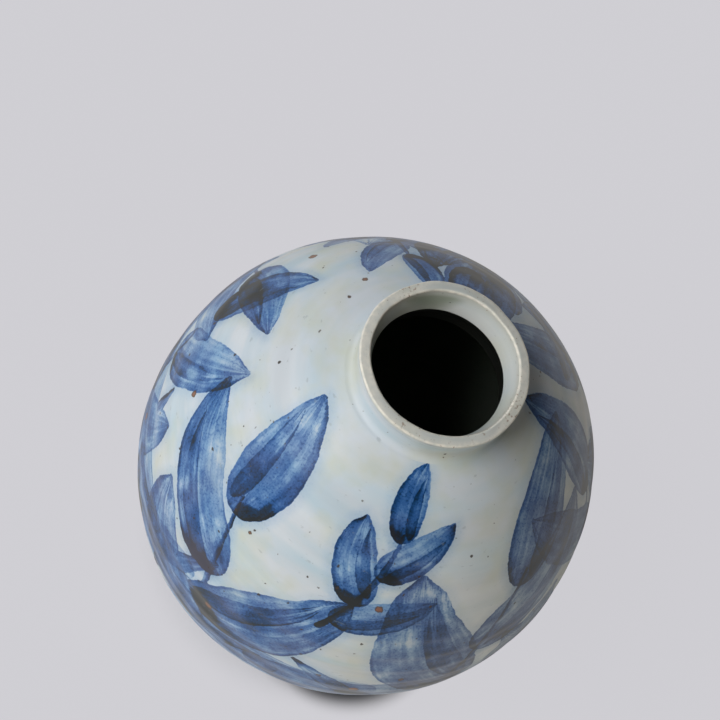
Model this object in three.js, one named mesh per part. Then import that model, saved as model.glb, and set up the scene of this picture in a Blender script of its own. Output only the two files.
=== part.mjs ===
// A thrown globe vase: two bowls luted rim to rim at the belly, a turned foot ring under the lower one and a
// short flaring collar on the shoulder. Lengths are in millimetres, +Z is up and the origin is the centre of
// the foot's resting face.
import * as THREE from "three";

// The globe. Its outline is half an ellipse, a little taller than it is wide.
const bellyRadius = 140;
const bellyRise = 159; // from the belly's widest level to where the ellipse would close
const bellyWall = 6.5; // at the widest level
const crownWall = 9; // where the ellipse would close, because clay is left thick under the neck and foot

// The base.
const floorThickness = 9;
const floorDish = 2; // the floor's underside rises this much to its centre, so that it can't rock
const cornerRadius = 34; // where the inner wall turns into the floor
const footRadius = 62;
const footWidth = 9;
const footHeight = 7;
const footTaper = 1.2; // the ring is this much narrower on each side where it rests
const footBevel = 1;

// The slip that joins the pieces. It stays between them as a thin ring with a coil pressed into one edge.
const seamThickness = 1.2;
const coilGroove = 3; // cut off the inner corner of each bowl's rim
const coilBulge = 1.6; // how far the coil stands into the vase
const coveWidth = 4; // the coil smoothed round the outside of the neck
const coveHeight = 4;
const coveEdge = 0.4; // the blunt upper edge of that coil

// The collar.
const collarRadius = 46;
const collarWall = 5; // where it stands on the shoulder, whose hole is as wide as the collar's inside
const collarHeight = 25.2; // from the slip to the highest point of the lip
const collarWaist = 0.8; // how far the outside draws in above the cove
const lipFlare = 3; // how far the lip stands out from the collar's foot
const lipWidth = 6.4;
const lipDepth = 5.5; // the thickened band under the lip's outer edge
const lipFall = 1.1; // the top slopes down to its outer edge by this much
const lipEdge = 1.3; // rounding of both edges
const throatStep = 2.5; // how much the throat is narrower than the hole in the shoulder
const throatDepth = 16; // of the throat below the lip
const throatRound = 1.5;

// Facets.
const turnSteps = 64; // round the axis
const curveSteps = 7; // along each curve of a profile; an ellipse's arc gets twice as many
const detailSteps = 3; // along the small curves of the collar and slip

// Sizes that follow from these.
const mouthHoleRadius = collarRadius - collarWall;
const throatRadius = mouthHoleRadius - throatStep;
const lipRadius = collarRadius + lipFlare;
const innerRadius = bellyRadius - bellyWall;
const innerRise = bellyRise - crownWall;
const footInner = footRadius - footWidth;
const seatRadius = collarRadius + coveWidth; // the flat turned on the shoulder for the collar and its coil
const bellyHeight = footHeight + outerRise(footRadius);
const seatHeight = bellyHeight + outerRise(seatRadius);
const collarBase = seatHeight + seamThickness;
const coveTop = seatHeight + coveHeight;
const lipHeight = collarBase + collarHeight;
const floorTop = footHeight + floorThickness;

const glaze = new THREE.MeshStandardMaterial({ color: "#c9d2d2", roughness: 0.38, metalness: 0 });
const slip = new THREE.MeshStandardMaterial({ color: "#b9a48a", roughness: 0.85, metalness: 0 });
const bareClay = new THREE.MeshStandardMaterial({ color: "#b08f6c", roughness: 0.9, metalness: 0 });

// Height of the outer ellipse over the belly's level, at a radius.
function outerRise(radius) {
  return bellyRise * Math.sqrt(1 - (radius / bellyRadius) ** 2);
}

// Height of the inner ellipse over the belly's level, at a radius.
function innerRiseAt(radius) {
  return innerRise * Math.sqrt(1 - (radius / innerRadius) ** 2);
}

// Radius of the inner ellipse, at a height over the belly's level.
function innerRadiusAt(rise) {
  return innerRadius * Math.sqrt(1 - (rise / innerRise) ** 2);
}

// Turns a closed profile about the Z axis. X of the profile is the radius and Y the height.
function turned(name, profile, steps, material) {
  const geometry = new THREE.LatheGeometry(profile.getPoints(steps), turnSteps);
  geometry.rotateX(Math.PI / 2);
  const mesh = new THREE.Mesh(geometry, material);
  mesh.name = name;
  return mesh;
}

// The ring that the vase stands on, narrower at its resting face and bevelled on the outside.
function footRing() {
  const profile = new THREE.Path();
  profile.moveTo(footInner + footTaper, 0);
  profile.lineTo(footRadius - footTaper - footBevel, 0);
  profile.lineTo(footRadius - footTaper, footBevel);
  profile.lineTo(footRadius, footHeight);
  profile.lineTo(footInner, footHeight);
  profile.closePath();
  return turned("foot_ring", profile, curveSteps, bareClay);
}

// The lower bowl with its floor. Its rim has the inner corner cut off for the coil.
function lowerBowl() {
  const rim = bellyHeight - seamThickness / 2;
  const grooveFoot = rim - coilGroove;
  const depth = bellyHeight - floorTop;
  const corner = innerRadiusAt(depth);
  const cornerLift = (cornerRadius * depth) / innerRise / 2;
  const profile = new THREE.Path();
  profile.moveTo(0, footHeight + floorDish);
  profile.quadraticCurveTo(footInner / 2, footHeight + floorDish, footInner, footHeight);
  profile.lineTo(footRadius, footHeight);
  profile.absellipse(
    0,
    bellyHeight,
    bellyRadius,
    bellyRise,
    -Math.acos(footRadius / bellyRadius),
    -Math.asin(seamThickness / 2 / bellyRise),
    false,
  );
  profile.lineTo(innerRadius + coilGroove, rim);
  profile.lineTo(innerRadiusAt(bellyHeight - grooveFoot), grooveFoot);
  profile.absellipse(
    0,
    bellyHeight,
    innerRadius,
    innerRise,
    -Math.asin((bellyHeight - grooveFoot) / innerRise),
    -Math.asin((depth - cornerLift) / innerRise),
    true,
  );
  profile.quadraticCurveTo(corner, floorTop, corner - cornerRadius / 2, floorTop);
  profile.lineTo(0, floorTop);
  return turned("lower_bowl", profile, curveSteps, glaze);
}

// The slip between the two bowls, with the coil pressed into the groove on the inside.
function bellySeam() {
  const low = bellyHeight - seamThickness / 2;
  const high = bellyHeight + seamThickness / 2;
  const grooveRadius = innerRadiusAt(seamThickness / 2 + coilGroove);
  const profile = new THREE.Path();
  profile.moveTo(innerRadius + coilGroove, low);
  profile.lineTo(bellyRadius, low);
  profile.lineTo(bellyRadius, high);
  profile.lineTo(innerRadius + coilGroove, high);
  profile.lineTo(grooveRadius, high + coilGroove);
  profile.quadraticCurveTo(innerRadius - 2 * coilBulge, bellyHeight, grooveRadius, low - coilGroove);
  profile.closePath();
  return turned("belly_seam", profile, detailSteps, slip);
}

// The upper bowl, upside down on the lower one, with the collar's flat seat and the hole under it.
function upperBowl() {
  const rim = bellyHeight + seamThickness / 2;
  const grooveTop = rim + coilGroove;
  const profile = new THREE.Path();
  profile.moveTo(innerRadius + coilGroove, rim);
  profile.absellipse(
    0,
    bellyHeight,
    bellyRadius,
    bellyRise,
    Math.asin(seamThickness / 2 / bellyRise),
    Math.acos(seatRadius / bellyRadius),
    false,
  );
  profile.lineTo(mouthHoleRadius, seatHeight);
  profile.lineTo(mouthHoleRadius, bellyHeight + innerRiseAt(mouthHoleRadius));
  profile.absellipse(
    0,
    bellyHeight,
    innerRadius,
    innerRise,
    Math.acos(mouthHoleRadius / innerRadius),
    Math.asin((grooveTop - bellyHeight) / innerRise),
    true,
  );
  profile.closePath();
  return turned("upper_bowl", profile, curveSteps, glaze);
}

// The slip under the collar, with the coil that is smoothed into a cove round the outside.
function neckSeam() {
  const profile = new THREE.Path();
  profile.moveTo(mouthHoleRadius, seatHeight);
  profile.lineTo(seatRadius, seatHeight);
  profile.quadraticCurveTo(
    collarRadius + coveEdge * 2,
    seatHeight + coveEdge * 2,
    collarRadius + coveEdge,
    coveTop,
  );
  profile.lineTo(collarRadius, coveTop);
  profile.lineTo(collarRadius, collarBase);
  profile.lineTo(mouthHoleRadius, collarBase);
  profile.closePath();
  return turned("neck_seam", profile, detailSteps, slip);
}

// The collar: a waisted outside, a thick flat lip that falls to its outer edge, and an inside that narrows
// to the throat and opens again under it.
function neckCollar() {
  const lipInner = lipRadius - lipWidth;
  const lipOuterTop = lipHeight - lipFall;
  const fall = Math.atan(lipFall / (lipWidth - 2 * lipEdge));
  const throatHeight = lipHeight - throatDepth;
  const waist = collarRadius + coveEdge - collarWaist;
  const profile = new THREE.Path();
  profile.moveTo(mouthHoleRadius, collarBase);
  profile.lineTo(collarRadius, collarBase);
  profile.lineTo(collarRadius, coveTop);
  profile.lineTo(collarRadius + coveEdge, coveTop);
  profile.bezierCurveTo(
    waist,
    coveTop + coveHeight,
    waist,
    lipOuterTop - lipDepth - coveHeight,
    lipRadius - lipEdge / 2,
    lipOuterTop - lipDepth,
  );
  profile.lineTo(lipRadius, lipOuterTop - 2 * lipEdge);
  profile.absarc(lipRadius - lipEdge, lipOuterTop - lipEdge, lipEdge, 0, Math.PI / 2 - fall, false);
  profile.absarc(lipInner + lipEdge, lipHeight - lipEdge, lipEdge, Math.PI / 2 - fall, Math.PI, false);
  profile.lineTo(throatRadius, throatHeight);
  profile.quadraticCurveTo(
    throatRadius,
    throatHeight - throatRound,
    throatRadius + throatRound / 2,
    throatHeight - 2 * throatRound,
  );
  profile.closePath();
  return turned("neck_collar", profile, detailSteps, glaze);
}

const vase = new THREE.Group();
vase.add(footRing(), lowerBowl(), bellySeam(), upperBowl(), neckSeam(), neckCollar());

export default vase;
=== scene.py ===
"""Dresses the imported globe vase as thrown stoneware, painted in cobalt under a pale satin glaze.

The frame's axes are the part's: +Z up, the foot on z = 0, and -Y towards the side that the camera sees.
Blender's lengths are metres. Profiles, brush marks and patterns are given in millimetres.
"""

import math

import bmesh
import bpy
import numpy as np
from mathutils import Matrix, Vector


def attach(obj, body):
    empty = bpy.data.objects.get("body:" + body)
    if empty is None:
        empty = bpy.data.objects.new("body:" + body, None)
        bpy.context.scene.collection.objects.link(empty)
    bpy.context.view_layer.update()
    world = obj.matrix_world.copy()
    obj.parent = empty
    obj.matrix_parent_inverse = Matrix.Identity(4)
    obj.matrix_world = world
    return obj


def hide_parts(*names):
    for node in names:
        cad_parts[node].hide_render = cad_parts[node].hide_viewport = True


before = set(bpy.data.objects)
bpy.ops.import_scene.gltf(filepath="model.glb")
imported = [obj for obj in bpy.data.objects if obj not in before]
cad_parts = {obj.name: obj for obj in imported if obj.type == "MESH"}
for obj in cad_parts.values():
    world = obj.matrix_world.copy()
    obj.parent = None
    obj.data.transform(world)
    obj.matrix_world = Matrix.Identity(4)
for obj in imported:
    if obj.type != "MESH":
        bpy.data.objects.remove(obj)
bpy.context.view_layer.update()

MM = 0.001

# The thrown form, in millimetres.
belly_radius = 140.0
belly_rise = 159.0
belly_wall = 6.5
crown_wall = 9.0
floor_thickness = 9.0
floor_dish = 2.0
corner_radius = 34.0
foot_radius = 62.0
foot_width = 9.0
foot_height = 7.0
foot_taper = 1.2
foot_round = 1.0
seam_thickness = 1.2
coil_groove = 3.0
coil_bulge = 1.6
cove_width = 4.0
cove_height = 4.0
cove_edge = 0.4
collar_radius = 46.0
collar_wall = 5.0
collar_height = 25.2
collar_waist = 0.8
lip_flare = 3.0
lip_width = 6.4
lip_depth = 5.5
lip_fall = 0.6
lip_edge = 1.3
throat_step = 2.5
throat_depth = 16.0
throat_round = 1.5

inner_radius = belly_radius - belly_wall
inner_rise = belly_rise - crown_wall
foot_inner = foot_radius - foot_width
hole_radius = collar_radius - collar_wall
throat_radius = hole_radius - throat_step
lip_radius = collar_radius + lip_flare
seat_radius = collar_radius + cove_width


def outer_rise(radius):
    """Height of the outer wall over the belly's widest level."""
    return belly_rise * math.sqrt(1 - (radius / belly_radius) ** 2)


def inner_rise_at(radius):
    """Height of the inner wall over the belly's widest level."""
    return inner_rise * math.sqrt(1 - (radius / inner_radius) ** 2)


def inner_radius_at(rise):
    """Radius of the inner wall at a height over the belly's widest level."""
    return inner_radius * math.sqrt(1 - (rise / inner_rise) ** 2)


belly_height = foot_height + outer_rise(foot_radius)
seat_height = belly_height + outer_rise(seat_radius)
collar_base = seat_height + seam_thickness
cove_top = seat_height + cove_height
lip_height = collar_base + collar_height
floor_top = foot_height + floor_thickness

TURN_STEPS = 512  # round the axis, 1.7 mm apart at the belly
BODY_ROWS = 118  # up each bowl's outer wall, 1.5 mm apart
LINING_ROWS = 24  # up each bowl's inner wall, which the neck hides
LIP_STEPS = 9
COLLAR_ROWS = 16


def arc(centre_radius, centre_height, radius, rise, start, stop, rows):
    """Points (radius, height) along part of an ellipse, between two angles up from level."""
    angles = np.linspace(start, stop, rows + 1)
    return [
        (centre_radius + radius * math.cos(a), centre_height + rise * math.sin(a))
        for a in angles
    ]


def curve(points, rows):
    """Points along a Bezier curve with three or four control points."""
    degree = len(points) - 1
    made = []
    for t in np.linspace(0, 1, rows + 1):
        weights = [
            math.comb(degree, k) * t**k * (1 - t) ** (degree - k) for k in range(degree + 1)
        ]
        made.append(tuple(sum(w * p[i] for w, p in zip(weights, points)) for i in (0, 1)))
    return made


# How a hand-thrown wall wanders: lobes round the axis, lobes per height, a phase, and millimetres.
WANDER = (
    (2, 0.006, 0.4, 0.55),
    (3, -0.011, 2.1, 0.35),
    (5, 0.021, 4.4, 0.16),
    (1, 0.055, 1.3, 0.18),
)
RIDGE_SPACING = 8.5  # of the marks that the fingers leave while throwing
RIDGE_HEIGHT = 0.055

# How the lip wanders more: lobes, a phase, and millimetres outwards (at the belly) and upwards.
LIP_WANDER = (
    (2, 0.8, 0.0, 0.3),
    (5, 2.3, 0.55, 0.12),
    (9, 4.0, 0.4, 0.08),
    (16, 1.9, 0.22, 0.05),
)


def wander(points):
    """Moves points (in millimetres) out or in by the unevenness of a hand-thrown wall."""
    angle = np.arctan2(points[:, 0], -points[:, 1])
    height = points[:, 2]
    out = np.zeros(len(points))
    for lobes, climb, phase, amount in WANDER:
        out += amount * np.sin(lobes * angle + 2 * math.pi * climb * height + phase)
    slant = height / RIDGE_SPACING + angle / (2 * math.pi)
    out += RIDGE_HEIGHT * np.sin(2 * math.pi * slant) * (1 + 0.6 * np.sin(2 * angle + height / 31))
    up = np.zeros(len(points))
    neck = np.clip((height - cove_top) / (lip_height - cove_top), 0, 1)
    for lobes, phase, outwards, upwards in LIP_WANDER:
        wave = neck**2 * np.sin(lobes * angle + phase)
        out += outwards * wave
        up += upwards * wave
    moved = points.copy()
    moved[:, :2] *= (1 + out / belly_radius)[:, None]
    moved[:, 2] += up
    return moved


SHARP = math.radians(38)


def turned(name, profile, closed, steps=TURN_STEPS):
    """Spins a profile of (radius, height) about the vase's axis and lets it wander as thrown clay does."""
    shape = bmesh.new()
    points = [shape.verts.new((0, -r * MM, z * MM)) for r, z in profile]
    pairs = list(zip(points, points[1:] + points[:1]))
    line = [shape.edges.new(pair) for pair in (pairs if closed else pairs[:-1])]
    eighth = math.pi / 4
    bmesh.ops.spin(
        shape, geom=points + line, cent=(0, 0, 0), axis=(0, 0, 1), angle=eighth, steps=steps // 8
    )
    for turn in (eighth, 2 * eighth, 4 * eighth):
        everything = [*shape.verts, *shape.edges, *shape.faces]
        copied = bmesh.ops.duplicate(shape, geom=everything)["geom"]
        corners = [part for part in copied if isinstance(part, bmesh.types.BMVert)]
        matrix = Matrix.Rotation(turn, 3, "Z")
        bmesh.ops.rotate(shape, verts=corners, cent=(0, 0, 0), matrix=matrix)
    bmesh.ops.remove_doubles(shape, verts=shape.verts, dist=1e-6)
    bmesh.ops.recalc_face_normals(shape, faces=shape.faces)
    for face in shape.faces:
        face.smooth = True
    for edge in shape.edges:
        edge.smooth = edge.calc_face_angle(0) < SHARP
    mesh = bpy.data.meshes.new(name)
    shape.to_mesh(mesh)
    shape.free()
    piece = bpy.data.objects.new(name, mesh)
    bpy.context.scene.collection.objects.link(piece)
    place(mesh, wander(spots(mesh)))
    return piece


def spots(mesh):
    """A mesh's vertices in millimetres."""
    flat = np.zeros(len(mesh.vertices) * 3)
    mesh.vertices.foreach_get("co", flat)
    return flat.reshape(-1, 3) / MM


def place(mesh, points):
    mesh.vertices.foreach_set("co", (points * MM).ravel())
    mesh.update()


def stand_in(piece, node):
    """The piece takes the CAD node's place."""
    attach(piece, "root")
    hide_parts(node)
    return piece


def make_foot_ring():
    profile = [(foot_inner + foot_taper + 0.6, 0)]
    profile += [(foot_radius - foot_taper - foot_round - 1.5, 0)]
    rest = foot_radius - foot_taper
    profile += arc(rest - foot_round, foot_round, foot_round, foot_round, -math.pi / 2, 0, 5)
    profile += [(foot_radius - foot_taper / 2, foot_height / 2), (foot_radius, foot_height)]
    profile += [(foot_inner, foot_height), (foot_inner + foot_taper / 2, foot_height / 2)]
    profile += [(foot_inner + foot_taper, 0.6)]
    return stand_in(turned("foot_ring_clay", profile, True), "foot_ring")


def make_lower_bowl():
    rim = belly_height - seam_thickness / 2
    groove = rim - coil_groove
    depth = belly_height - floor_top
    corner = inner_radius_at(depth)
    lift = corner_radius * depth / inner_rise / 2
    base = foot_height + floor_dish
    profile = curve([(0, base), (foot_inner / 2, base), (foot_inner, foot_height)], 10)
    start = -math.acos(foot_radius / belly_radius)
    stop = -math.asin(seam_thickness / 2 / belly_rise)
    profile += arc(0, belly_height, belly_radius, belly_rise, start, stop, BODY_ROWS)
    profile += [(inner_radius + coil_groove, rim)]
    start = -math.asin((belly_height - groove) / inner_rise)
    stop = -math.asin((depth - lift) / inner_rise)
    profile += arc(0, belly_height, inner_radius, inner_rise, start, stop, LINING_ROWS)
    bend = [profile[-1], (corner, floor_top), (corner - corner_radius / 2, floor_top)]
    profile += curve(bend, 8)[1:] + [(0, floor_top)]
    return stand_in(turned("lower_bowl_glazed", profile, False), "lower_bowl")


def make_belly_seam():
    low = belly_height - seam_thickness / 2
    high = belly_height + seam_thickness / 2
    groove = inner_radius_at(seam_thickness / 2 + coil_groove)
    profile = [(inner_radius + coil_groove, low), (belly_radius, low), (belly_radius, high)]
    profile += [(inner_radius + coil_groove, high)]
    bead = [(groove, high + coil_groove), (inner_radius - 2 * coil_bulge, belly_height)]
    profile += curve(bead + [(groove, low - coil_groove)], 10)
    return stand_in(turned("belly_seam_slip", profile, True), "belly_seam")


def make_upper_bowl():
    rim = belly_height + seam_thickness / 2
    groove = rim + coil_groove
    profile = [(inner_radius + coil_groove, rim)]
    start = math.asin(seam_thickness / 2 / belly_rise)
    stop = math.acos(seat_radius / belly_radius)
    profile += arc(0, belly_height, belly_radius, belly_rise, start, stop, BODY_ROWS)
    profile += [(hole_radius, seat_height)]
    start = math.acos(hole_radius / inner_radius)
    stop = math.asin((groove - belly_height) / inner_rise)
    profile += arc(0, belly_height, inner_radius, inner_rise, start, stop, LINING_ROWS)
    return stand_in(turned("upper_bowl_glazed", profile, True), "upper_bowl")


def make_neck_seam():
    profile = [(hole_radius, seat_height)]
    cove = [(seat_radius, seat_height), (collar_radius + cove_edge * 2, seat_height + cove_edge * 2)]
    profile += curve(cove + [(collar_radius + cove_edge, cove_top)], 10)
    profile += [(collar_radius, cove_top), (collar_radius, collar_base), (hole_radius, collar_base)]
    return stand_in(turned("neck_seam_slip", profile, True), "neck_seam")


def make_neck_collar():
    lip_inner = lip_radius - lip_width
    lip_outer_top = lip_height - lip_fall
    fall = math.pi / 2 - math.atan(lip_fall / (lip_width - 2 * lip_edge))
    throat = lip_height - throat_depth
    waist = collar_radius + cove_edge - collar_waist
    under = lip_outer_top - lip_depth
    profile = [(hole_radius, collar_base), (collar_radius, collar_base), (collar_radius, cove_top)]
    wall = [(collar_radius + cove_edge, cove_top), (waist, cove_top + cove_height)]
    wall += [(waist, under - cove_height), (lip_radius - lip_edge / 2, under)]
    profile += curve(wall, COLLAR_ROWS)
    swell = [profile[-1], (lip_radius, lip_outer_top - lip_depth / 2)]
    profile += curve(swell + [(lip_radius, lip_outer_top - lip_edge)], 5)[1:-1]
    outer = (lip_radius - lip_edge, lip_outer_top - lip_edge)
    inner = (lip_inner + lip_edge, lip_height - lip_edge)
    profile += arc(*outer, lip_edge, lip_edge, 0, fall, LIP_STEPS)
    profile += arc(*inner, lip_edge, lip_edge, fall, math.pi, LIP_STEPS)
    profile += curve([profile[-1], (throat_radius + 1, throat + 6), (throat_radius, throat)], 12)[1:]
    turn = [(throat_radius, throat), (throat_radius, throat - throat_round)]
    turn += [(throat_radius + throat_round / 2, throat - 2 * throat_round)]
    profile += curve(turn, 5)[1:]
    return stand_in(turned("neck_collar_glazed", profile, True), "neck_collar")


foot_ring = make_foot_ring()
lower_bowl = make_lower_bowl()
belly_seam = make_belly_seam()
upper_bowl = make_upper_bowl()
neck_seam = make_neck_seam()
neck_collar = make_neck_collar()

# The brushwork. Each mark is laid by a brush that walks over the belly. Every vertex of the outer wall keeps
# how far it is from the mark and where it lies in the stroke, and the glaze's material turns that into pigment.

HALO = 14.0  # millimetres round a mark that its colour can bleed into
LAYERS = 4  # of marks that may lie over each other
SECOND_OFFSET = 0.18  # how far a leaf's second, narrower stroke stands to one side, as a share of its width

# Widths along a mark, from 0 at its start to 1 at its end, as shares of the widest place.
SHAPES = {
    "leaf": ((0, 0.3), (0.07, 0.7), (0.16, 0.92), (0.34, 1), (0.58, 0.9), (0.82, 0.56), (1, 0.1)),
    "blade": ((0, 0.12), (0.2, 0.6), (0.45, 1), (0.7, 0.85), (0.88, 0.5), (1, 0.16)),
    "bud": ((0, 0.35), (0.25, 0.85), (0.55, 1), (0.8, 0.8), (1, 0.35)),
    "stem": ((0, 1), (0.3, 0.7), (0.6, 0.85), (1, 0.45)),
    "wash": ((0, 0.5), (0.1, 0.85), (0.4, 1), (0.75, 0.9), (1, 0.55)),
}

# Stems: where each starts (degrees round from the front, height), its heading (degrees to the right of up),
# its length, how far it turns to the right, the side of its first leaf and how full the brush is.
# The fuller brushes of the stems at 106 and 142 degrees, on the side away from the softbox, darken their marks
# as painted shade.
STEMS = (
    (-68, 104, -6, 134, -20, 1, 1.0),
    (-12, 88, 6, 166, -26, -1, 1.0),
    (50, 84, 8, 176, 22, 1, 0.9),
    (106, 98, -6, 150, 20, -1, 1.15),
    (142, 98, -10, 162, 24, 1, 1.15),
    (-170, 90, 8, 186, -18, -1, 1.0),
    (-116, 94, 6, 146, 20, 1, 1.0),
    (16, 212, 30, 82, -30, 1, 1.0),
    (-160, 190, -22, 100, 30, -1, 1.2),
    (-144, 212, 16, 78, -24, 1, 1.0),
)

USUAL_STEM = 165.0  # a longer stem bears larger leaves

# Leaves: share of the stem at which each springs, degrees off the stem, length, bend, width and load.
LEAVES = (
    (0.16, 62, 108, -34, 49, 0.85),
    (0.40, -56, 122, 38, 54, 1.0),
    (0.68, 50, 108, -32, 47, 0.8),
    (0.97, -14, 88, 26, 40, 0.95),
)

# Ground under the plants: washes and grass, as marks of their own. Start (degrees, height), heading, length,
# bend, width, load, dryness of the end, shape.
GROUND = (
    (-96, 88, 82, 200, -14, 40, 0.3, 0.5, "wash"),
    (-30, 72, 80, 190, 10, 42, 0.5, 0.4, "wash"),
    (-46, 116, 84, 196, 6, 46, 0.45, 0.5, "wash"),
    (38, 92, 98, 210, -12, 38, 0.48, 0.6, "wash"),
    (118, 76, 84, 200, 8, 42, 0.6, 0.5, "wash"),
    (-172, 80, 82, 190, 6, 40, 0.55, 0.4, "wash"),
    (-112, 176, 97, 190, -10, 36, 0.4, 0.6, "wash"),
    (-78, 132, 86, 210, 14, 56, 0.5, 0.5, "wash"),
    (-72, 146, 80, 120, 10, 7, 0.8, 0.8, "blade"),
    (-60, 118, 84, 150, 8, 9, 0.9, 0.8, "blade"),
    (10, 134, 95, 190, -10, 52, 0.55, 0.5, "wash"),
    (92, 150, 84, 180, 8, 50, 0.5, 0.5, "wash"),
    (-78, 58, 88, 190, 6, 30, 0.4, 0.3, "wash"),
    (6, 50, 86, 180, -6, 30, 0.6, 0.3, "wash"),
    (90, 56, 92, 190, 6, 30, 0.75, 0.4, "wash"),
    (176, 54, 88, 190, -4, 30, 0.8, 0.3, "wash"),
    (-36, 96, -52, 128, 40, 20, 1.2, 0.2, "blade"),
    (-30, 90, 8, 120, 24, 17, 1.0, 0.3, "blade"),
    (-26, 84, 46, 104, 20, 18, 1.15, 0.3, "blade"),
    (48, 92, -34, 112, -26, 18, 1.15, 0.2, "blade"),
    (56, 90, 30, 104, 20, 16, 1.0, 0.3, "blade"),
    (122, 90, -36, 96, -24, 12, 1.1, 0.2, "blade"),
    (-160, 88, 30, 90, 20, 12, 1.1, 0.2, "blade"),
    (-100, 90, 28, 88, 26, 11, 1.2, 0.2, "blade"),
)


def on_belly(point):
    """The nearest place on the outer wall's ellipse, and the way out of the wall there."""
    reach = np.array((belly_radius, belly_radius, belly_rise))
    from_middle = point - (0, 0, belly_height)
    from_middle = from_middle / np.linalg.norm(from_middle / reach)
    out = from_middle / reach**2
    return from_middle + (0, 0, belly_height), out / np.linalg.norm(out)


def start_at(azimuth, height, heading):
    """A place on the belly and the direction that a brush takes there."""
    around = math.radians(azimuth)
    radius = belly_radius * math.sqrt(1 - ((height - belly_height) / belly_rise) ** 2)
    at, out = on_belly(np.array((radius * math.sin(around), -radius * math.cos(around), height)))
    east = np.array((math.cos(around), math.sin(around), 0))
    north = np.cross(out, east)
    return at, math.cos(math.radians(heading)) * north + math.sin(math.radians(heading)) * east


def walk(at, way, length, bend, stride):
    """Places, directions and right-hand sides along a mark."""
    steps = max(2, round(length / stride))
    turn = math.radians(bend) / steps
    at, out = on_belly(at)
    rows = []
    for _ in range(steps + 1):
        way = way - way.dot(out) * out
        way /= np.linalg.norm(way)
        right = np.cross(way, out)
        rows.append((at, way, right))
        way = math.cos(turn) * way + math.sin(turn) * right
        at, out = on_belly(at + way * length / steps)
    return [np.array(column) for column in zip(*rows)]


def planned_marks():
    """Every mark as its start, its direction, length, bend, width, load, dryness and shape."""
    chance = np.random.default_rng(11)
    marks = []
    for azimuth, height, heading, *rest in GROUND:
        marks.append((*start_at(azimuth, height, heading), *rest))
    for azimuth, height, heading, length, bend, side, full in STEMS:
        at, way = start_at(azimuth, height, heading)
        stem = walk(at, way, length, bend, length / 100)
        marks.append((at, way, length, bend, 5.0, 1.1, 0.2, "stem"))
        for share, angle, leaf_length, leaf_bend, width, load in LEAVES:
            at, way, right = (column[round(share * 100)] for column in stem)
            vary = chance.uniform(-1, 1, 4)
            angle = math.radians(side * angle + 9 * vary[0])
            way = math.cos(angle) * way + math.sin(angle) * right
            leaf_length *= (1 + 0.12 * vary[1]) * length / USUAL_STEM
            width *= (1 + 0.1 * vary[2]) * length / USUAL_STEM
            load *= full * (1 + 0.15 * vary[3])
            bend = side * leaf_bend
            marks.append((at, way, leaf_length, bend, width, load, 0.35, "leaf"))
            right = walk(at, way, leaf_length, bend, leaf_length)[2][0]
            at = at + right * side * SECOND_OFFSET * width
            second = (leaf_length * 0.84, bend * 0.9, width * 0.32, 0.9 * load, 0.95, "leaf")
            marks.append((at, way, *second))
    return marks


def lay(mark, seed, points):
    """Which of the points a mark comes near, and for each its gap, pigment, dryness and place in the stroke."""
    at, way, length, bend, width, load, dry, shape = mark
    at, way, right = walk(at, way, length, bend, max(1.0, width / 12))
    share = np.linspace(0, 1, len(at))
    stops, widths = zip(*SHAPES[shape])
    half = width / 2 * np.interp(share, stops, widths)
    half *= 1 + 0.05 * np.sin(share * length / 9 + seed * 2.1)
    middle = at[len(at) // 2]
    near = np.nonzero(
        np.linalg.norm(points - middle, axis=1) < length / 2 + width / 2 + HALO + 4
    )[0]
    gaps = np.linalg.norm(points[near, None] - at[None], axis=2) - half[None]
    best = gaps.argmin(axis=1)
    gap = gaps[np.arange(len(near)), best]
    step = points[near] - at[best]
    along = share[best] * length + (step * way[best]).sum(axis=1)
    across = (step * right[best]).sum(axis=1) / half[best]
    far = np.clip(along / length, 0, 1)
    lean = 0.42 * math.sin(seed * 1.7 + 0.5)
    pigment = load * (1 + lean * np.clip(across, -1, 1))
    pigment *= 0.76 + 0.55 * np.exp(-((far / 0.15) ** 2)) + 0.25 * np.exp(-(((1 - far) / 0.1) ** 2))
    dryness = dry * np.clip((far - 0.45) / 0.5, 0, 1)
    values = np.column_stack(
        (gap, pigment, dryness, along, across * width / 2, np.full(len(near), seed * 3.7))
    )
    return near, values


def paint(pieces):
    """Gives the pieces' outer walls the layers of brush marks."""
    walls = [spots(piece.data) for piece in pieces]
    points = np.concatenate(walls)
    level = (points[:, 2] - belly_height) / belly_rise
    outer = np.hypot(points[:, 0], points[:, 1]) ** 2 / belly_radius**2 + level**2 > 0.95
    outside = np.nonzero(outer)[0]
    layers = [np.tile((HALO, 0, 0, 0, 0, 0), (len(points), 1)).astype(float) for _ in range(LAYERS)]
    for number, mark in enumerate(planned_marks()):
        near, values = lay(mark, number + 1, points[outside])
        near = outside[near]
        for layer in layers:
            if not ((values[:, 0] < 2) & (layer[near, 0] < 2)).any():
                break
        closer = values[:, 0] < layer[near, 0]
        layer[near[closer]] = values[closer]
    first = 0
    for piece, wall in zip(pieces, walls):
        for number, layer in enumerate(layers):
            rows = layer[first : first + len(wall)]
            for name, columns in ((f"pigment{number}", (0, 1, 2)), (f"stroke{number}", (3, 4, 5))):
                kept = piece.data.attributes.new(name, "FLOAT_VECTOR", "POINT")
                kept.data.foreach_set("vector", rows[:, columns].ravel())
        first += len(wall)


paint((lower_bowl, belly_seam, upper_bowl))


def linear(code):
    """A colour written as sRGB hex, as Blender's linear values."""
    channels = [int(code[i : i + 2], 16) / 255 for i in (1, 3, 5)]
    return [c / 12.92 if c <= 0.04045 else ((c + 0.055) / 1.055) ** 2.4 for c in channels] + [1]


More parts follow.
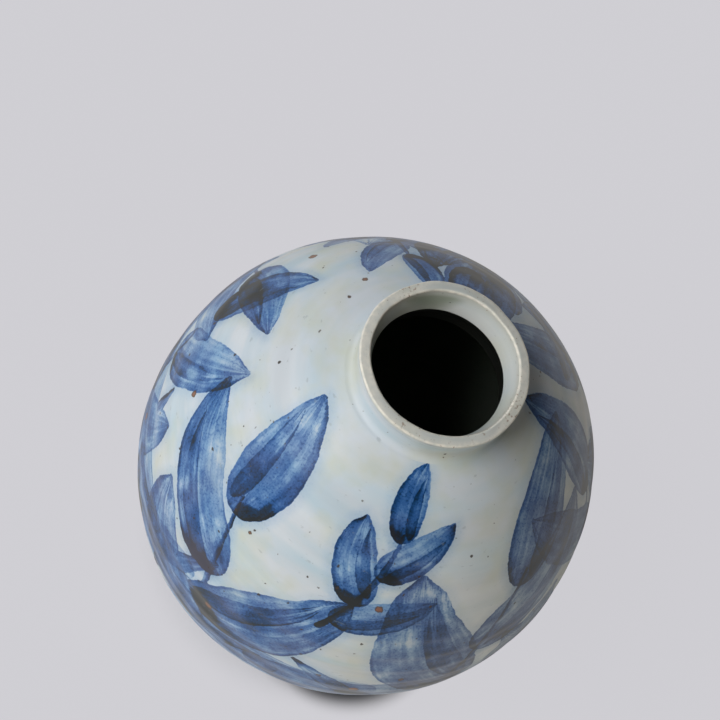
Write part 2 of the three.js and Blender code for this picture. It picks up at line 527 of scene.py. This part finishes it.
def add(tree, kind, inputs=None, out=0, ramp=(), **settings):
    """Adds a node with its settings, its values and links, and returns one of its outputs."""
    node = tree.nodes.new("ShaderNode" + kind)
    for name, value in settings.items():
        setattr(node, name, value)
    for name, value in (inputs or {}).items():
        if isinstance(value, bpy.types.NodeSocket):
            tree.links.new(value, node.inputs[name])
        else:
            node.inputs[name].default_value = value
    for number, (position, colour) in enumerate(ramp):
        stops = node.color_ramp.elements
        stop = stops[number] if number < 2 else stops.new(position)
        stop.position, stop.color = position, linear(colour)
    return node.outputs[out]


# Real sizes of what the surface shows, in millimetres.
BAND = 9.0  # between glaze bands round the axis
SWEEP = 30.0  # thin places of bluish glaze
CLOUD = 26.0  # patches that fired warmer
BLEED = 3.0  # ragged edge of a mark
WASH = 17.0  # pools of pigment inside a mark
FIRED = 48.0  # places where the cobalt fired greyer
HAIR = 4.4  # between tufts of the brush's hairs, which split finer
HAIR_RUN = 55.0  # length that a hair's trace keeps its tone
GRAIN = 1.3  # ground cobalt; its real grains are finer than the picture can show
PEEL = 2.6  # ripples of the fired glaze
PIT = 6.0  # between pinholes
SPOT = 20.0  # between iron spots
SPECK = 8.0  # between iron specks


def pigment_density(tree, place):
    """How much cobalt lies at each place: 1 is a full, even stroke."""
    bleed = add(tree, "TexNoise", {"Vector": place, "Scale": 1000 / BLEED, "Detail": 3})
    wash = add(tree, "TexNoise", {"Vector": place, "Scale": 1000 / WASH, "Detail": 2})
    grain = add(tree, "TexNoise", {"Vector": place, "Scale": 1000 / GRAIN, "Detail": 1})
    total = None
    for layer in range(LAYERS):
        kept = add(tree, "Attribute", attribute_name=f"pigment{layer}", out="Vector")
        stroke = add(tree, "Attribute", attribute_name=f"stroke{layer}", out="Vector")
        gap = add(tree, "SeparateXYZ", {0: kept})
        load, dry = gap.node.outputs[1], gap.node.outputs[2]
        size = (1 / HAIR_RUN, 1 / HAIR, 1)
        hair_at = add(tree, "VectorMath", {0: stroke, 1: size}, operation="MULTIPLY")
        hair = add(tree, "TexNoise", {"Vector": hair_at, "Scale": 1, "Detail": 3, "Roughness": 0.58})
        edge = add(tree, "Math", {0: bleed, 1: 1.7, 2: gap}, operation="MULTIPLY_ADD")
        inked = {"Value": edge, "From Min": 1.2, "From Max": 0.5}
        inked = add(tree, "MapRange", inked, interpolation_type="SMOOTHSTEP")
        bare = add(tree, "MapRange", {"Value": hair, "From Min": 0.52, "From Max": 0.44})
        gone = add(tree, "Math", {0: bare, 1: dry}, operation="MULTIPLY")
        left = add(tree, "Math", {0: 1.0, 1: gone}, operation="SUBTRACT")
        inked = add(tree, "Math", {0: inked, 1: left}, operation="MULTIPLY")
        tone = {"Value": hair, "From Min": 0.3, "From Max": 0.7, "To Min": 0.5, "To Max": 1.05}
        tone = add(tree, "MapRange", tone)
        tone = add(tree, "Math", {0: wash, 1: 1.75, 2: tone}, operation="MULTIPLY_ADD")
        tone = add(tree, "Math", {0: tone, 1: 1.0}, operation="SUBTRACT")
        tone = add(tree, "Math", {0: tone, 1: 0.16}, operation="MAXIMUM")
        pool = {"Value": edge, "From Min": -2.2, "From Max": 0.6, "To Max": 0.75}
        pool = add(tree, "MapRange", pool, interpolation_type="SMOOTHSTEP")
        pool = add(tree, "Math", {0: pool, 1: wash}, operation="MULTIPLY")
        tone = add(tree, "Math", {0: tone, 1: pool}, operation="ADD")
        heavy = add(tree, "Math", {0: wash, 1: 0.9, 2: load}, operation="MULTIPLY_ADD")
        heavy = add(tree, "Math", {0: hair, 1: 0.35, 2: heavy}, operation="MULTIPLY_ADD")
        puddle = add(tree, "MapRange", {"Value": heavy, "From Min": 1.74, "From Max": 1.84, "To Max": 0.75})
        tone = add(tree, "Math", {0: tone, 1: puddle}, operation="ADD")
        tone = add(tree, "Math", {0: tone, 1: inked}, operation="MULTIPLY")
        halo = {"Value": edge, "From Min": 9.0, "From Max": 0.8, "To Max": 0.07}
        halo = add(tree, "MapRange", halo, interpolation_type="SMOOTHSTEP")
        tone = add(tree, "Math", {0: tone, 1: halo}, operation="MAXIMUM")
        tone = add(tree, "Math", {0: tone, 1: load}, operation="MULTIPLY")
        if total is None:
            total = tone
        else:
            total = add(tree, "Math", {0: total, 1: tone}, operation="ADD")
    speckle = {"Value": grain, "From Min": 0.3, "From Max": 0.72, "To Min": 0.86, "To Max": 1.18}
    speckle = add(tree, "MapRange", speckle)
    clot = {"Value": grain, "From Min": 0.6, "From Max": 0.72, "To Max": 0.4}
    speckle = add(tree, "Math", {0: speckle, 1: add(tree, "MapRange", clot)}, operation="ADD")
    return add(tree, "Math", {0: total, 1: speckle}, operation="MULTIPLY")


def glaze_material(name, painted):
    """Pale satin glaze over stoneware: cool where it lies thick, warm where thin, with iron spots. Shade is also
    painted in: the glaze and its marks turn warmer and darker towards +X, away from the softbox, the throat gets
    a warm tint and an olive patch of painted shade, and worn edges carry a pale painted highlight.
    """
    material = bpy.data.materials.new(name)
    material.use_nodes = True
    tree = material.node_tree
    shader = tree.nodes["Principled BSDF"]
    place = add(tree, "TexCoord", out="Object")
    band_at = add(tree, "VectorMath", {0: place, 1: (6, 6, 1000 / BAND)}, operation="MULTIPLY")
    band = add(tree, "TexNoise", {"Vector": band_at, "Scale": 1, "Detail": 3})
    sweep_at = add(tree, "VectorMath", {0: place, 1: (0.5, 0.5, 2.4)}, operation="MULTIPLY")
    sweep = add(tree, "TexNoise", {"Vector": sweep_at, "Scale": 1000 / SWEEP, "Detail": 3})
    cloud = add(tree, "TexNoise", {"Vector": place, "Scale": 1000 / CLOUD, "Detail": 4})
    cool = add(tree, "MapRange", {"Value": sweep, "From Min": 0.42, "From Max": 0.72})
    colour = {0: cool, 6: linear("#D1D8DE"), 7: linear("#BCD0DB")}
    colour = add(tree, "Mix", colour, out=2, data_type="RGBA")
    rightward = add(tree, "SeparateXYZ", {0: place})
    # Painted shade: on the painted belly the glaze turns warmer and greyer towards +X, the side away from the
    # softbox.
    side = {"Value": rightward, "From Min": 0.03, "From Max": 0.12, "To Max": 0.45}
    side = add(tree, "MapRange", side, interpolation_type="SMOOTHSTEP")
    if not painted:
        level = add(tree, "VectorMath", {0: place, 1: (1, 1, 0)}, operation="MULTIPLY")
        axis = add(tree, "VectorMath", {0: level}, out="Value", operation="LENGTH")
        # In the collar the same tint is painted warm shade inside the throat instead.
        throat_warm_shade = {"Value": axis, "From Min": 0.0445, "From Max": 0.042, "To Max": 0.45}
        side = add(tree, "MapRange", throat_warm_shade)
    warm = add(tree, "MapRange", {"Value": cloud, "From Min": 0.45, "From Max": 0.75, "To Max": 0.55})
    colour = add(tree, "Mix", {0: warm, 6: colour, 7: linear("#C6C8A8")}, out=2, data_type="RGBA")
    colour = add(tree, "Mix", {0: side, 6: colour, 7: linear("#D0CEC0")}, out=2, data_type="RGBA")
    if not painted:
        # Painted shade: an olive patch on the throat's inner wall, on the side where the lip's shadow from the
        # softbox falls.
        shaded_throat_side = add(
            tree, "VectorMath", {0: place, 1: (-0.676, 0.737, 0)}, out="Value", operation="DOT_PRODUCT"
        )
        pool = {"Value": shaded_throat_side, "From Min": 0.0365, "From Max": 0.0405, "To Max": 0.8}
        pool = add(tree, "MapRange", pool, interpolation_type="SMOOTHSTEP")
        throat = add(tree, "MapRange", {"Value": axis, "From Min": 0.0425, "From Max": 0.0415})
        pool = add(tree, "Math", {0: pool, 1: throat}, operation="MULTIPLY")
        colour = add(tree, "Mix", {0: pool, 6: colour, 7: linear("#89937F")}, out=2, data_type="RGBA")
    tint ={"Value": band, "From Min": 0.3, "From Max": 0.7, "To Min": 0.93, "To Max": 1.02}
    tint = add(tree, "MapRange", tint)
    colour = add(tree, "VectorMath", {0: colour, "Scale": tint}, operation="SCALE")
    rough = add(tree, "MapRange", {"Value": cloud, "To Min": 0.26, "To Max": 0.36})
    if painted:
        density = pigment_density(tree, place)
        cover = add(tree, "Math", {0: 0.012, 1: density}, operation="POWER")
        cover = add(tree, "Math", {0: 1.0, 1: cover}, operation="SUBTRACT")
        strength = add(tree, "Math", {0: density, 1: 0.42}, operation="MULTIPLY")
        blues = (
            (0.0, "#7FAFD4"),
            (0.1, "#4489C0"),
            (0.2, "#1864A6"),
            (0.31, "#0A5092"),
            (0.44, "#053F74"),
            (0.62, "#052C4B"),
            (0.95, "#171D20"),
        )
        cobalt = add(tree, "ValToRGB", {0: strength}, ramp=blues)
        fired = add(tree, "TexNoise", {"Vector": place, "Scale": 1000 / FIRED, "Detail": 2})
        fired = add(tree, "MapRange", {"Value": fired, "From Min": 0.48, "From Max": 0.7, "To Max": 0.3})
        cobalt = {0: fired, 6: cobalt, 7: linear("#706C84")}
        cobalt = add(tree, "Mix", cobalt, out=2, data_type="RGBA")
        # Painted shade: the marks turn darker and greyer towards +X, the side away from the softbox.
        marks_in_painted_shade = {"Value": rightward, "From Min": 0.045, "From Max": 0.11, "To Max": 0.4}
        cobalt = {0: add(tree, "MapRange", marks_in_painted_shade), 6: cobalt, 7: linear("#24252C")}
        cobalt = add(tree, "Mix", cobalt, out=2, data_type="RGBA")
        colour = add(tree, "Mix", {0: cover, 6: colour, 7: cobalt}, out=2, data_type="RGBA")

    # Smears in the glaze, as grey as its drips.
    smear_at = add(tree, "VectorMath", {0: place, 1: (150, 150, 420)}, operation="MULTIPLY")
    smear = add(tree, "TexNoise", {"Vector": smear_at, "Scale": 1, "Detail": 2})
    smear = {"Value": smear, "From Min": 0.68, "From Max": 0.76, "To Max": 0.3}
    smear = add(tree, "MapRange", smear, interpolation_type="SMOOTHSTEP")
    colour = add(tree, "Mix", {0: smear, 6: colour, 7: linear("#7F8C90")}, out=2, data_type="RGBA")

    # Iron spots and pinholes.
    bent = add(tree, "TexNoise", {"Vector": place, "Scale": 1000 / 2.0, "Detail": 1}, out=1)
    bent = add(tree, "VectorMath", {0: bent, "Scale": 0.0016}, operation="SCALE")
    bent = add(tree, "VectorMath", {0: place, 1: bent}, operation="ADD")
    for apart, rarity, widest, rim, core, amount in (
        (SPOT, 0.5, 4.0, "#40301F", "#84502A", 0.92),
        (SPECK, 0.5, 1.3, "#3B3028", "#3B3028", 0.92),
        (PIT, 0.5, 0.8, "#55544E", "#55544E", 0.8),
    ):
        cell = add(tree, "TexVoronoi", {"Vector": bent, "Scale": 1000 / apart})
        draw = add(tree, "SeparateXYZ", {0: cell.node.outputs[1]})
        radius = {"Value": draw, "From Min": rarity, "From Max": 1.0, "To Max": widest / apart}
        radius = add(tree, "MapRange", radius)
        depth = add(tree, "Math", {0: radius, 1: cell}, operation="SUBTRACT")
        inside = {"Value": depth, "From Max": 0.35 / apart, "To Max": amount}
        inside = add(tree, "MapRange", inside)
        middle = {"Value": depth, "From Min": 0.4 / apart, "From Max": 1.1 / apart}
        middle = add(tree, "MapRange", middle)
        tone = {0: middle, 6: linear(rim), 7: linear(core)}
        tone = add(tree, "Mix", tone, out=2, data_type="RGBA")
        colour = add(tree, "Mix", {0: inside, 6: colour, 7: tone}, out=2, data_type="RGBA")

    # Where glaze thins over a sharp edge, the clay's colour shows through. The pale line right on the edges is
    # worn glaze and a painted highlight as well.
    thin = add(tree, "Attribute", attribute_name="thin", out="Fac")
    worn = add(tree, "TexNoise", {"Vector": place, "Scale": 1000 / 4.0, "Detail": 3})
    worn = add(tree, "MapRange", {"Value": worn, "From Min": 0.35, "From Max": 0.65, "To Min": 0.3})
    dull = add(tree, "Math", {0: thin, 1: 0.8}, operation="MULTIPLY")
    colour = add(tree, "Mix", {0: dull, 6: colour, 7: linear("#C0C0B5")}, out=2, data_type="RGBA")
    edge = add(tree, "MapRange", {"Value": thin, "From Min": 0.86, "From Max": 0.98})
    pale = add(tree, "Math", {0: edge, 1: worn}, operation="MULTIPLY")
    colour = add(tree, "Mix", {0: pale, 6: colour, 7: linear("#ECE7DB")}, out=2, data_type="RGBA")
    chip = add(tree, "TexNoise", {"Vector": place, "Scale": 1000 / 1.8, "Detail": 3})
    chip = add(tree, "Math", {0: cloud, 1: 0.5, 2: chip}, operation="MULTIPLY_ADD")
    chip = add(tree, "MapRange", {"Value": chip, "From Min": 0.87, "From Max": 0.95, "To Max": 0.8})
    chip = add(tree, "Math", {0: thin, 1: chip}, operation="MULTIPLY")
    colour = add(tree, "Mix", {0: chip, 6: colour, 7: linear("#8C7460")}, out=2, data_type="RGBA")

    peel = add(tree, "TexNoise", {"Vector": place, "Scale": 1000 / PEEL, "Detail": 3})
    bump = {"Height": peel, "Strength": 0.35, "Distance": 0.05 * MM}
    bump = add(tree, "Bump", bump)
    tree.links.new(colour, shader.inputs["Base Color"])
    tree.links.new(rough, shader.inputs["Roughness"])
    tree.links.new(bump, shader.inputs["Normal"])
    shader.inputs["IOR"].default_value = 1.5
    return material


def liner_material():
    """Iron liner glaze: satin and almost black near the mouth. Deeper inside it turns a paler grey, painted
    light where hardly any light reaches.
    """
    material = bpy.data.materials.new("iron_liner_glaze")
    material.use_nodes = True
    tree = material.node_tree
    shader = tree.nodes["Principled BSDF"]
    place = add(tree, "TexCoord", out="Object")
    cloud = add(tree, "TexNoise", {"Vector": place, "Scale": 1000 / 18.0, "Detail": 4})
    colour = add(tree, "ValToRGB", {0: cloud}, ramp=((0.3, "#0E110E"), (0.75, "#12110D")))
    height = add(tree, "SeparateXYZ", {0: place}, out=2)
    # Painted light: paler grey deep inside, where hardly any light reaches, so that the hollow is not quite
    # black.
    deep_painted_light = {"Value": height, "From Min": (seat_height - 12) * MM, "From Max": (seat_height - 45) * MM}
    colour = {0: add(tree, "MapRange", deep_painted_light), 6: colour, 7: linear("#7A8378")}
    colour = add(tree, "Mix", colour, out=2, data_type="RGBA")
    tree.links.new(colour, shader.inputs["Base Color"])
    shader.inputs["Roughness"].default_value = 0.7
    return material


def bare_clay_material():
    """Unglazed stoneware: buff, speckled with iron and turned smooth."""
    material = bpy.data.materials.new("bare_stoneware")
    material.use_nodes = True
    tree = material.node_tree
    shader = tree.nodes["Principled BSDF"]
    place = add(tree, "TexCoord", out="Object")
    cloud = add(tree, "TexNoise", {"Vector": place, "Scale": 1000 / 14.0, "Detail": 5})
    colour = add(tree, "ValToRGB", {0: cloud}, ramp=((0.3, "#A98A66"), (0.7, "#C7AF8F")))
    grog = add(tree, "TexNoise", {"Vector": place, "Scale": 1000 / 1.2, "Detail": 2})
    dark = add(tree, "MapRange", {"Value": grog, "From Min": 0.6, "From Max": 0.72, "To Max": 0.6})
    colour = add(tree, "Mix", {0: dark, 6: colour, 7: linear("#6B4C33")}, out=2, data_type="RGBA")
    bump = add(tree, "Bump", {"Height": grog, "Strength": 0.5, "Distance": 0.08 * MM})
    tree.links.new(colour, shader.inputs["Base Color"])
    tree.links.new(bump, shader.inputs["Normal"])
    shader.inputs["Roughness"].default_value = 0.85
    return material


def mark_thin(piece, edges, reach):
    """Marks the places within reach of some circles (radius, height), where the glaze runs thin; at the edges
    its pale line is also a painted highlight.
    """
    points = spots(piece.data)
    radius = np.hypot(points[:, 0], points[:, 1])
    thin = np.zeros(len(points))
    for edge_radius, edge_height in edges:
        gap = np.hypot(radius - edge_radius, points[:, 2] - edge_height)
        thin = np.maximum(thin, np.exp(-((gap / reach) ** 2)))
    kept = piece.data.attributes.new("thin", "FLOAT", "POINT")
    kept.data.foreach_set("value", thin)


def finish_faces(piece, materials, choose):
    """Gives the piece its materials; choose gives a face's material from its middle and its normal."""
    mesh = piece.data
    for material in materials:
        mesh.materials.append(material)
    for face in mesh.polygons:
        middle = face.center / MM
        face.material_index = choose(math.hypot(middle.x, middle.y), middle.z, face.normal)


def on_outer_wall(radius, height):
    level = (height - belly_height) / belly_rise
    return (radius / belly_radius) ** 2 + level**2 > 0.95


painted_glaze = glaze_material("celadon_glaze_over_cobalt", True)
plain_glaze = glaze_material("celadon_glaze", False)
liner = liner_material()
bare_clay = bare_clay_material()

mark_thin(lower_bowl, [(foot_radius, foot_height)], 2.0)
lip_outer = (lip_radius - 0.4, lip_height - lip_fall - 0.6)
lip_inner = (lip_radius - lip_width + 0.4, lip_height - 0.5)
mark_thin(neck_collar, [lip_outer, lip_inner], 3.4)

for bowl in (lower_bowl, belly_seam, upper_bowl):
    finish_faces(
        bowl,
        (painted_glaze, liner, bare_clay),
        lambda radius, height, normal: (
            2
            if radius < foot_radius - 1 and height < foot_height + floor_dish + 1
            else 0 if on_outer_wall(radius, height) else 1
        ),
    )
finish_faces(
    neck_seam,
    (plain_glaze, liner),
    lambda radius, height, normal: 1 if radius < collar_radius - 2 else 0,
)
throat = lip_height - throat_depth
finish_faces(
    neck_collar,
    (plain_glaze, liner),
    lambda radius, height, normal: 1 if height < throat and radius < collar_radius - 2 else 0,
)
finish_faces(foot_ring, (bare_clay,), lambda radius, height, normal: 0)

BACKDROP = "#D1D0D5"


def make_camera():
    """Stands where the photograph was taken from: nine belly radii off, 65 degrees up, and leaning."""
    distance = 9 * belly_radius * MM
    focal = 2014.0  # pixels, of an image 720 pixels wide
    tilt, lean = math.radians(24.53), math.radians(51.6)
    seen = Vector(((363.9 - 360) / focal, (360 - 466.2) / focal, -1)).normalized()
    back = -seen
    across = Vector((0, 1, 0)).cross(back).normalized()
    up = back.cross(across)
    level = math.cos(lean) * across + math.sin(lean) * up
    axis = math.sin(tilt) * level + math.cos(tilt) * back
    away = (math.cos(tilt) * axis - back) / math.sin(tilt)
    turn = Matrix((away.cross(axis), away, axis)).to_4x4()
    data = bpy.data.cameras.new("photo_camera")
    data.sensor_width = 36
    data.lens = focal / 720 * 36
    camera = bpy.data.objects.new("photo_camera", data)
    bpy.context.scene.collection.objects.link(camera)
    camera.matrix_world = (
        Matrix.Translation((0, 0, belly_height * MM))
        @ Matrix.Translation(turn @ (back * distance))
        @ turn
    )
    bpy.context.scene.camera = camera


def seen_directly(tree):
    """1 for the rays that look at the background itself or at its reflection."""
    path = add(tree, "LightPath", out="Is Camera Ray").node
    seen = path.outputs["Is Camera Ray"]
    for kind in ("Is Glossy Ray", "Is Transmission Ray"):
        seen = add(tree, "Math", {0: seen, 1: path.outputs[kind]}, operation="MAXIMUM")
    return seen


def make_floor():
    """A pale paper floor. The camera sees mostly its plain colour, but the real light and shadow under the vase,
    and a painted contact shadow beside the foot on the near side, where the belly comes down to it in the
    photograph. All else sees it lit, with the vase's shadow and the painted one."""
    shape = bmesh.new()
    bmesh.ops.create_grid(shape, x_segments=1, y_segments=1, size=8)
    mesh = bpy.data.meshes.new("floor")
    shape.to_mesh(mesh)
    shape.free()
    floor = bpy.data.objects.new("floor", mesh)
    bpy.context.scene.collection.objects.link(floor)
    material = bpy.data.materials.new("matt_paper")
    material.use_nodes = True
    tree = material.node_tree
    lit = add(tree, "BsdfDiffuse", {"Color": linear(BACKDROP)})
    flat = add(tree, "Emission", {"Color": linear(BACKDROP), "Strength": 1.0})
    place = add(tree, "TexCoord", out="Object")
    away = add(tree, "VectorMath", {0: place}, out="Value", operation="LENGTH")
    under = {"Value": away, "From Min": 0.09, "From Max": 0.122, "To Min": 0.85, "To Max": 0.0}
    under = add(tree, "MapRange", under, interpolation_type="SMOOTHSTEP")
    # Painted contact shadow: a dark patch on the floor beside the foot, on the near side, seen by every ray.
    painted_contact_shadow = add(
        tree, "VectorMath", {0: place, 1: (0.05, -0.025, 0)}, out="Value", operation="DISTANCE"
    )
    painted_contact_shadow = {"Value": painted_contact_shadow, "From Min": 0.059, "From Max": 0.0765, "To Min": 0.92, "To Max": 0.0}
    painted_contact_shadow = add(tree, "MapRange", painted_contact_shadow, interpolation_type="SMOOTHSTEP")
    path = add(tree, "LightPath", out="Is Camera Ray").node
    camera, glossy = path.outputs["Is Camera Ray"], path.outputs["Is Glossy Ray"]
    paper = {0: camera, 6: linear("#F6F3EE"), 7: linear(BACKDROP)}
    paper = add(tree, "Mix", paper, out=2, data_type="RGBA")
    shade = add(tree, "Mix", {0: painted_contact_shadow, 6: paper, 7: linear("#2B2E31")}, out=2, data_type="RGBA")
    tree.links.new(shade, lit.node.inputs["Color"])
    wide = {"Value": away, "From Min": 0.14, "From Max": 3.0, "To Min": 0.05, "To Max": 0.0}
    wide = add(tree, "MapRange", wide)
    lit_share = add(tree, "Math", {0: under, 1: painted_contact_shadow}, operation="MAXIMUM")
    lit_share = add(tree, "Math", {0: lit_share, 1: wide}, operation="ADD")
    lit_share = add(tree, "Math", {0: glossy, 1: 0.9, 2: lit_share}, operation="MULTIPLY_ADD")
    share = add(tree, "Math", {0: 1.0, 1: lit_share}, operation="SUBTRACT", use_clamp=True)
    share = add(tree, "Math", {0: share, 1: seen_directly(tree)}, operation="MULTIPLY")
    both = add(tree, "MixShader", {0: share, 1: lit, 2: flat})
    tree.links.new(both, tree.nodes["Material Output"].inputs["Surface"])
    mesh.materials.append(material)


def make_world():
    world = bpy.data.worlds.new("studio")
    bpy.context.scene.world = world
    world.use_nodes = True
    tree = world.node_tree
    fill = tree.nodes["Background"]
    fill.inputs["Color"].default_value = linear("#FFEFD6")
    fill.inputs["Strength"].default_value = 0.02
    direction = add(tree, "SeparateXYZ", {0: add(tree, "TexCoord", out="Generated")})
    upward = direction.node.outputs[2]
    ceiling = {"Value": upward, "From Min": 0.05, "From Max": 0.35, "To Min": 1.0, "To Max": 0.15}
    ceiling = add(tree, "MapRange", ceiling)
    right = {"Value": direction, "From Min": 0.1, "From Max": 0.7, "To Min": 1.0, "To Max": 0.2}
    right = add(tree, "MapRange", right)
    mirrored = add(tree, "Math", {0: ceiling, 1: right}, operation="MULTIPLY")
    camera = add(tree, "LightPath", out="Is Camera Ray")
    strength = add(tree, "Math", {0: mirrored, 1: camera}, operation="MAXIMUM")
    shown = add(tree, "Background", {"Color": linear(BACKDROP), "Strength": strength})
    both = add(tree, "MixShader", {0: seen_directly(tree), 1: fill.outputs[0], 2: shown})
    tree.links.new(both, tree.nodes["World Output"].inputs["Surface"])


def make_lamp(name, energy, angle, tint, direction):
    """A soft light from one side: how wide it looks from the vase, in degrees, and where it stands."""
    data = bpy.data.lights.new(name, "SUN")
    data.energy = energy
    data.angle = math.radians(angle)
    data.color = linear(tint)[:3]
    lamp = bpy.data.objects.new(name, data)
    bpy.context.scene.collection.objects.link(lamp)
    lamp.rotation_mode = "QUATERNION"
    lamp.rotation_quaternion = Vector(direction).to_track_quat("Z", "Y")
    return lamp


make_camera()
make_floor()
make_world()
# The softbox is two lamps, because the satin glaze mirrors it only faintly. The others are walls that it lights.
make_lamp("softbox", 2.0, 40, "#FFFFFF", (-0.5, -0.53, 0.7)).visible_glossy = False
make_lamp("softbox_sheen", 0.5, 44, "#FFFFFF", (-0.5, -0.53, 0.7))
make_lamp("left_wall", 0.45, 40, "#F2F7FF", (-0.98, 0.0, 0.18)).visible_glossy = False
make_lamp("front_wall", 0.75, 60, "#FFF8EC", (0.5, -0.86, 0.09)).visible_glossy = False
bpy.context.scene.view_settings.view_transform = "Standard"
